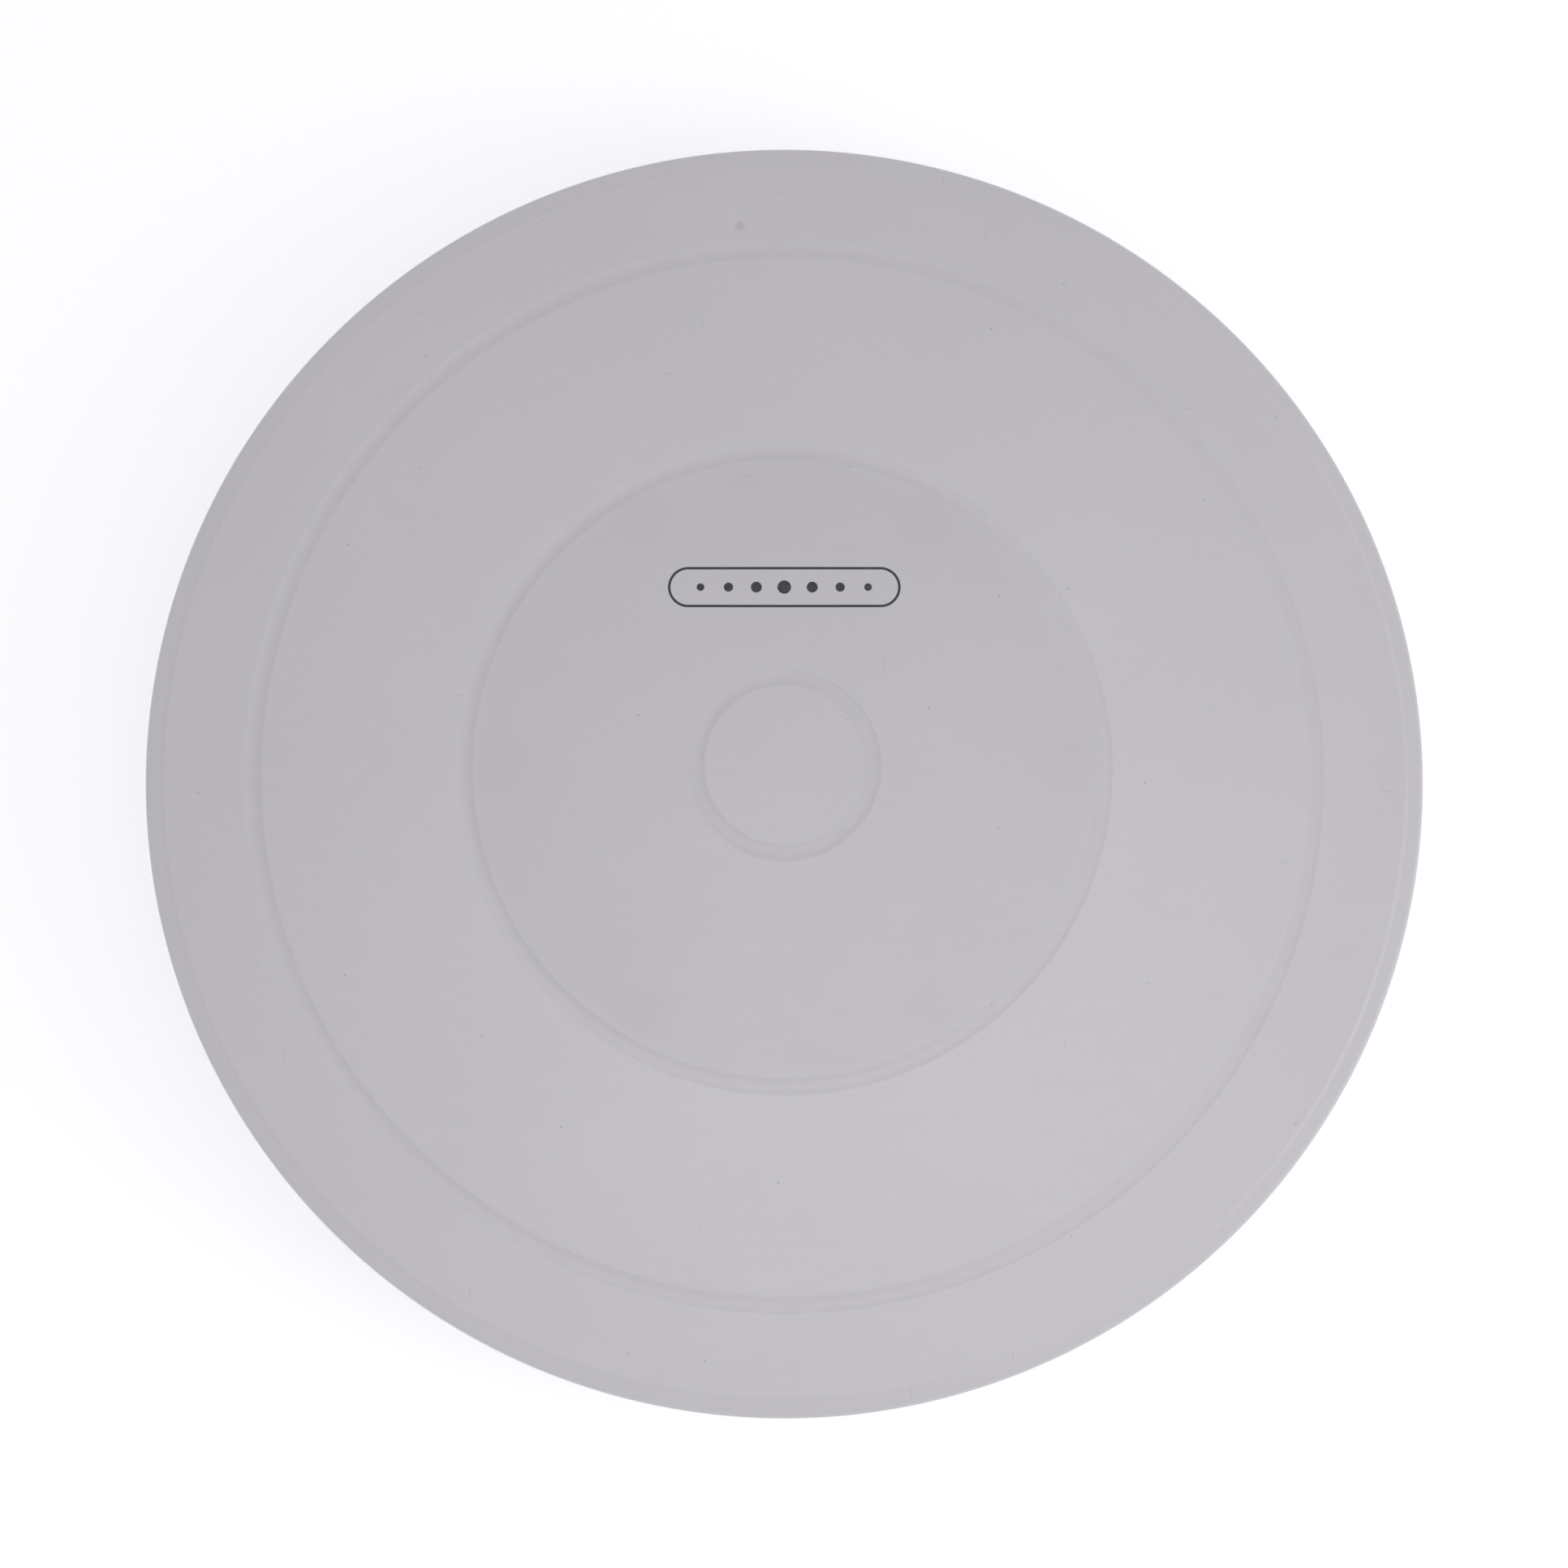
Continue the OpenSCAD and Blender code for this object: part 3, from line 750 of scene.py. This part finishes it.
# radial ribs, tied together by one ring
ribLow = under - plate["ribHeight"]
ribHigh = under + plate["ribSunk"]
oneRib = rib("plate_rib", plate["collar"][1] - plate["ribReach"],
             plateRadius - plate["rimWall"] + plate["ribReach"], ribLow, ribHigh, plate["ribWidth"])
allRibs = around(oneRib, plate["ribCount"], 180 / plate["ribCount"])
half = plate["ribWidth"] / 2
ringRib = turnPiece("ring_rib", roundCorners([
    (plate["ringRib"] - half, ribHigh, 0),
    (plate["ringRib"] - half * ribDraft, ribLow, 0.3),
    (plate["ringRib"] + half * ribDraft, ribLow, 0.3),
    (plate["ringRib"] + half, ribHigh, 0)], steps=3, closed=True), steps=144, closed=True)
combine(allRibs, ringRib, "UNION")
combine(plateBody, allRibs, "UNION")

# bosses for the screws, with blind holes
oneBoss = turnPiece("plate_boss", roundCorners([
    (0, plate["holeTop"], 0),
    (plate["bossHole"], plate["holeTop"], 0.4),
    (plate["bossHole"] + plate["holeDraft"], housingTop, 0.3),
    (plate["bossRadius"] - plate["bossDraft"], housingTop, 0.5),
    (plate["bossRadius"], ribHigh, 0),
    (0, ribHigh, 0)]), steps=48)
shiftPiece(oneBoss, x=plate["bossCircle"])
combine(plateBody, around(oneBoss, plate["bossCount"]), "UNION")

# the gate's mark: a shallow dish, cut by a tool that flares above the plate
gateX, gateY = plate["gatePlace"]
gateTool = [Vector((plate["gateRadius"] * out, top - plate["gateDepth"] * down))
            for out, down in plate["gateShape"]]
gateTool += [Vector((plate["gateRadius"] * 1.1, top + past / 2)), Vector((0, top + past / 2))]
gateDish = turnPiece("gate_dish", gateTool, steps=32)
shiftPiece(gateDish, x=gateX, y=gateY)
combine(plateBody, gateDish, "DIFFERENCE")
finishPiece(plateBody, platePolypropylene, "turntable", ["turntable_plate"])

mark = {
    "place": 42.2,                       # mm behind the axis
    "length": 55.0,
    "height": 9.7,
    "line": 0.6,
    "dotSizes": (3.2, 2.6, 2.2, 1.8),    # the middle dot, then outwards on both sides
    "dotPitch": 6.6,
    "discPoints": 64,
}


def filmDisc(name, radius, x=0.0, stretch=0.0):
    # a flat disc at the plate's top; stretch pulls its halves apart along X
    deselectAll()
    bpy.ops.mesh.primitive_circle_add(vertices=mark["discPoints"], radius=radius * mm,
                                      fill_type="NGON", location=(x * mm, 0, top * mm))
    piece = bpy.context.active_object
    piece.name = name
    settlePlace()
    for side in (-1, 1):
        selectPoints(piece, lambda place: side * (place.x - x) > 0.01)
        bpy.ops.transform.translate(value=(side * stretch / 2 * mm, 0, 0))
        bpy.ops.object.mode_set(mode="OBJECT")
    return piece


def raiseFilm(piece):
    # gives the flat shapes of the print their thickness
    makeActive(piece)
    bpy.ops.object.mode_set(mode="EDIT")
    bpy.ops.mesh.select_all(action="SELECT")
    bpy.ops.mesh.extrude_region_move(TRANSFORM_OT_translate={"value": (0, 0, plate["printFilm"] * mm)})
    bpy.ops.mesh.select_all(action="SELECT")
    bpy.ops.mesh.normals_make_consistent(inside=False)
    bpy.ops.object.mode_set(mode="OBJECT")


frameLine = filmDisc("print_mark", mark["height"] / 2, stretch=mark["length"] - mark["height"])
selectFaces(frameLine, lambda centre, normal: True)
bpy.ops.mesh.inset(thickness=mark["line"] * mm)
bpy.ops.mesh.delete(type="FACE")
bpy.ops.object.mode_set(mode="OBJECT")
printed = [frameLine]
for side in (-1, 1):
    for step, size in enumerate(mark["dotSizes"]):
        if side == 1 or step > 0:
            printed.append(filmDisc("print_dot", size / 2, x=side * step * mark["dotPitch"]))
printMark = joinPieces(printed)
raiseFilm(printMark)
shiftPiece(printMark, y=mark["place"])
finishPiece(printMark, ink, "turntable")

housing = {
    "bore": 3.0,
    "wall": 2.5,
    "skirtWall": 2.4,
    "hubRadius": 10,
    "hubGap": 0.2,                       # above the bush's flange
    "seatRadii": (50.45, 61.55),         # recess for the upper race
    "seatDepth": 0.7,
    "ribCount": 12,
    "ribWidth": 1.8,
    "ribHeight": 2.5,
    "ribSunk": 0.5,
    "hexRadius": 5.87,                   # pocket for the bolt's head
    "hexDepth": 4.2,
    "hexTurn": 30,                       # degrees
    "screwCircle": 67,
    "screwHole": 2.0,
    "screwSeat": (3.5, 20.2),            # radius and level of each screw's seat
    "steps": 192,
}
webLow = housingTop - housing["wall"]
seatInner, seatOuter = housing["seatRadii"]
skirtInner = housingRadius - housing["skirtWall"]
housingBody = turnPiece("housing_moulding", roundCorners([
    (housing["bore"], bushHigh + housing["hubGap"], 0.2),
    (housing["hubRadius"], bushHigh + housing["hubGap"], 0.5),
    (housing["hubRadius"], webLow, 0.6),
    (seatInner, webLow, 0.1),
    (seatInner, webLow + housing["seatDepth"], 0.05),
    (seatOuter, webLow + housing["seatDepth"], 0.05),
    (seatOuter, webLow, 0.1),
    (skirtInner, webLow, 0.8),
    (skirtInner, skirtLow, 0.4),
    (housingRadius, skirtLow, 0.6),
    (housingRadius, housingTop, 0.6),
    (housing["bore"], housingTop, 0.2)], closed=True), housing["steps"], closed=True)
housingRib = rib("housing_rib", housing["hubRadius"] - housing["ribSunk"], seatInner - housing["wall"],
                 webLow - housing["ribHeight"], webLow + housing["ribSunk"], housing["ribWidth"])
combine(housingBody, around(housingRib, housing["ribCount"], 180 / housing["ribCount"]), "UNION")
seatRadius, seatLevel = housing["screwSeat"]
screwCutter = turnPiece("screw_cutter", [
    Vector((0, webLow - past)), Vector((seatRadius, webLow - past)), Vector((seatRadius, seatLevel)),
    Vector((housing["screwHole"], seatLevel)), Vector((housing["screwHole"], housingTop + past)),
    Vector((0, housingTop + past))], steps=32)
shiftPiece(screwCutter, x=housing["screwCircle"])
combine(housingBody, around(screwCutter, plate["bossCount"]), "DIFFERENCE")
deselectAll()
bpy.ops.mesh.primitive_cylinder_add(
    vertices=6, radius=housing["hexRadius"] * mm, depth=2 * housing["hexDepth"] * mm,
    location=(0, 0, housingTop * mm), rotation=(0, 0, math.radians(housing["hexTurn"])))
hexCutter = bpy.context.active_object
settlePlace()
combine(housingBody, hexCutter, "DIFFERENCE")
finishPiece(housingBody, housingAbs, "turntable", ["bearing_housing"])

base = {
    "wall": 2.5,
    "bore": 5.0,
    "hubRadius": 15,
    "recessRadius": 12.5,
    "pedestalLip": 1.5,
    "pedestalDraft": 0.05,
    "channelTop": 9.8,
    "flangeTop": 5.0,
    "sealWall": (67.4, 69.8, 14.5),      # inner and outer radius, top
    "ribCount": 12,
    "ribWidth": 1.8,
    "ribTop": 10.0,
    "ribSunk": 0.5,
    "footCircle": 67.2,
    "footRecess": (6.1, 1.0),            # radius and depth
    "footCount": 6,
    "footTurn": 30,                      # degrees, the first foot's
    "pinCircle": 32,                     # the marks of the mould's ejector pins
    "pinRadius": 2.5,
    "pinDepth": 0.12,
    "pinCount": 8,
    "pinTurn": 22.5,                     # degrees, the first mark's
    "steps": 192,
}
floorTop = baseLow + base["wall"]
pedestalIn = seatInner - base["pedestalLip"] + base["pedestalDraft"]
pedestalOut = seatOuter + base["pedestalLip"] - base["pedestalDraft"]
pedestalTop = lowerRaceLow + housing["seatDepth"]
sealInner, sealOuter, sealTop = base["sealWall"]
baseBody = turnPiece("base_moulding", roundCorners([
    (base["bore"], hubUnder, 0.2),
    (base["recessRadius"], hubUnder, 0.4),
    (base["recessRadius"], baseLow, 0.3),
    (pedestalIn + base["wall"], baseLow, 0.4),
    (pedestalIn + base["wall"], base["channelTop"], 0.5),
    (pedestalOut - base["wall"], base["channelTop"], 0.5),
    (pedestalOut - base["wall"], baseLow, 0.4),
    (baseRadius, baseLow, 1.0),
    (baseRadius, base["flangeTop"], 0.6),
    (sealOuter, base["flangeTop"], 0.4),
    (sealOuter, sealTop, 0.6),
    (sealInner, sealTop, 0.4),
    (sealInner, floorTop, 0.6),
    (pedestalOut, floorTop, 0.6),
    (pedestalOut, pedestalTop, 0.3),
    (seatOuter, pedestalTop, 0.1),
    (seatOuter, lowerRaceLow, 0.05),
    (seatInner, lowerRaceLow, 0.05),
    (seatInner, pedestalTop, 0.1),
    (pedestalIn, pedestalTop, 0.3),
    (pedestalIn, floorTop, 0.6),
    (base["hubRadius"], floorTop, 0.8),
    (base["hubRadius"], pedestalTop, 0.4),
    (base["bore"], pedestalTop, 0.2)], closed=True), base["steps"], closed=True)
sunk = base["ribSunk"]
floorRib = boxPiece("floor_rib", (base["hubRadius"] - sunk, -base["ribWidth"] / 2, floorTop - sunk),
                    (pedestalIn + sunk, base["ribWidth"] / 2, base["ribTop"]))
combine(baseBody, around(floorRib, base["ribCount"]), "UNION")
channelRib = rib("channel_rib", pedestalIn + base["wall"] - sunk, pedestalOut - base["wall"] + sunk,
                 baseLow + sunk, base["channelTop"] + sunk, base["ribWidth"])
combine(baseBody, around(channelRib, base["ribCount"], 180 / base["ribCount"]), "UNION")
recessRadius, recessDepth = base["footRecess"]
for name, radius, depth, circle, count, first in (
        ("foot_recess", recessRadius, recessDepth,
         base["footCircle"], base["footCount"], base["footTurn"]),
        ("pin_mark", base["pinRadius"], base["pinDepth"],
         base["pinCircle"], base["pinCount"], base["pinTurn"])):
    cutter = turnPiece(name, [
        Vector((0, baseLow - past)), Vector((radius, baseLow - past)),
        Vector((radius, baseLow + depth)), Vector((0, baseLow + depth))], steps=48)
    shiftPiece(cutter, x=circle)
    combine(baseBody, around(cutter, count, first), "DIFFERENCE")
finishPiece(baseBody, housingAbs, "base", ["base"])

foot = {
    "radius": 6.0,
    "height": 3.0,
    "edgeRound": 0.7,
    "dishRadius": 4.2,                   # the face that grips is a ring round a shallow dish
    "dishDepth": 0.35,
    "dishSlope": 0.3,
    "pipRadius": 0.7,                    # left by the mould, below the level of the ring
    "pipHeight": 0.2,
    "pipFlare": 0.2,
}
footBody = turnPiece("rubber_foot", roundCorners([
    (0, foot["dishDepth"] - foot["pipHeight"], 0),
    (foot["pipRadius"], foot["dishDepth"] - foot["pipHeight"], 0.15),
    (foot["pipRadius"] + foot["pipFlare"], foot["dishDepth"], 0.15),
    (foot["dishRadius"] - foot["dishSlope"], foot["dishDepth"], 0.2),
    (foot["dishRadius"], 0, 0.2),
    (foot["radius"], 0, foot["edgeRound"]),
    (foot["radius"], foot["height"], 0.1),
    (0, foot["height"], 0)], steps=6), steps=96)
shiftPiece(footBody, x=base["footCircle"])
for number in range(1, base["footCount"] + 1):
    nodeName = f"foot_{number:02d}"
    turned = copyTurned(footBody, f"rubber_{nodeName}",
                        base["footTurn"] + (number - 1) * 360 / base["footCount"])
    finishPiece(turned, rubber, "base", [nodeName])
bpy.data.objects.remove(footBody)

cap = {
    "faceThickness": 1.2,
    "wall": 1.5,
    "edge": 0.6,
    "dimpleRadius": 1.4,
    "dimpleFloor": 0.7,                  # share of that radius
    "dimpleDepth": 0.25,
    "slotWidth": 4.0,                    # two slots for a flat tool to lift the cap out
    "slotDepth": 0.9,
    "slotReach": 1.4,
}
capBody = turnPiece("cap_moulding", roundCorners([
    (0, capLow + cap["dimpleDepth"], 0),
    (cap["dimpleRadius"] * cap["dimpleFloor"], capLow + cap["dimpleDepth"], 0.3),
    (cap["dimpleRadius"], capLow, 0.3),
    (capRadius, capLow, cap["edge"]),
    (capRadius, capHigh, 0.3),
    (capRadius - cap["wall"], capHigh, 0.3),
    (capRadius - cap["wall"], capLow + cap["faceThickness"], 0.4),
    (0, capLow + cap["faceThickness"], 0)]), steps=128)
capSlot = boxPiece("cap_slot", (capRadius - cap["slotReach"], -cap["slotWidth"] / 2, capLow - past),
                   (capRadius + past, cap["slotWidth"] / 2, capLow + cap["slotDepth"]))
combine(capBody, around(capSlot, 2), "DIFFERENCE")
finishPiece(capBody, housingAbs, "base", ["hub_cap"])

# the pieces of the bearing and the pivot keep their CAD shapes and get their finishes here
finishes = {
    "upper_race": raceSteel, "lower_race": raceSteel, "ball_cage": acetal,
    "pivot_bush": nylon, "thrust_washer": nylon,
    "pivot_bolt": zincSteel, "lock_nut": zincSteel, "plate_screws": zincSteel,
}
for nodeName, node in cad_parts.items():
    if nodeName.startswith(("ball_0", "ball_1")):
        finishes[nodeName] = chromeSteel
    if nodeName in finishes:
        node.data.materials.clear()
        node.data.materials.append(finishes[nodeName])
print("bearing and pivot finished")

stage = {
    "floorColour": "#F8F8F9",
    "floorRadius": 6,             # m
    "floorRoughness": 0.9,
    "floorGlow": 0.32,
    "skyColour": "#F6F5F8",
    "skyStrength": 0.715,         # overhead; it brightens to the floor's white at the horizon
    "horizonStrength": 1.12,
    "horizonHeight": 0.3,         # sine of the angle where the brightening starts
    "sidePower": 2.0,             # W
    "sideSize": 0.5,              # m
    "sidePlace": (0.94, -0.32, 0.5),
    "overheadPower": 12.1,        # W
    "overheadSize": 0.2,          # m
    "overheadPlace": (0.03, -0.05, 1.3),
    "overheadAim": (0.05, -0.08, 0),
    "overheadSpread": 22,         # degrees, fading all the way to its edge
}

deselectAll()
bpy.ops.mesh.primitive_circle_add(vertices=128, radius=stage["floorRadius"], fill_type="NGON",
                                  location=(0, 0, cadBounds[0].z))
floor = bpy.context.active_object
floor.name = "floor"
floorMaterial, floorTree = newMaterial("pale_floor")
floorShader = floorTree.nodes["Principled BSDF"]
floorShader.inputs["Base Color"].default_value = linearColour(stage["floorColour"])
floorShader.inputs["Roughness"].default_value = stage["floorRoughness"]
floorShader.inputs["Emission Color"].default_value = (1, 1, 1, 1)
floorShader.inputs["Emission Strength"].default_value = stage["floorGlow"]
floor.data.materials.append(floorMaterial)

world = bpy.data.worlds.new("studio")
bpy.context.scene.world = world
world.use_nodes = True
sky = world.node_tree.nodes["Background"]
sky.inputs["Color"].default_value = linearColour(stage["skyColour"])
direction = addNode(world.node_tree, "ShaderNodeTexCoord")
upward = addNode(world.node_tree, "ShaderNodeSeparateXYZ", inputs={"Vector": (direction, "Generated")})
brightness, brightnessOut = fadeBetween(world.node_tree, (upward, "Z"), 0.0, stage["horizonHeight"],
                                        stage["horizonStrength"], stage["skyStrength"])
world.node_tree.links.new(brightness.outputs[brightnessOut], sky.inputs["Strength"])


def addLight(name, kind, place, aim, power):
    bpy.ops.object.light_add(type=kind, location=place)
    light = bpy.context.active_object
    light.name = name
    light.data.energy = power
    light.rotation_euler = (Vector(place) - Vector(aim)).to_track_quat("Z", "Y").to_euler()
    return light.data


sideLight = addLight("side_softbox", "AREA", stage["sidePlace"], (0, 0, 0), stage["sidePower"])
sideLight.shape = "SQUARE"
sideLight.size = stage["sideSize"]
overhead = addLight("overhead_soft_spot", "SPOT", stage["overheadPlace"], stage["overheadAim"],
                    stage["overheadPower"])
overhead.spot_size = math.radians(stage["overheadSpread"])
overhead.spot_blend = 1.0
overhead.shadow_soft_size = stage["overheadSize"]

view = {
    "elevation": 83.2,            # degrees above the table
    "distance": 0.5916,           # m from the middle of the plate's top
    "lens": 57.96,                # mm
    "sensor": 36,                 # mm
    "shift": (-0.0002, -0.0125),
    "nearest": 0.01,              # m
}
tilt = math.radians(view["elevation"])
towardsCamera = Vector((0, -math.cos(tilt), math.sin(tilt)))
bpy.ops.object.camera_add(location=Vector((0, 0, plateTop * mm)) + towardsCamera * view["distance"])
camera = bpy.context.active_object
camera.rotation_euler = towardsCamera.to_track_quat("Z", "Y").to_euler()
camera.data.lens = view["lens"]
camera.data.sensor_width = view["sensor"]
camera.data.shift_x, camera.data.shift_y = view["shift"]
camera.data.clip_start = view["nearest"]
bpy.context.scene.camera = camera
bpy.context.scene.view_settings.view_transform = "Standard"
print("floor, light and camera")
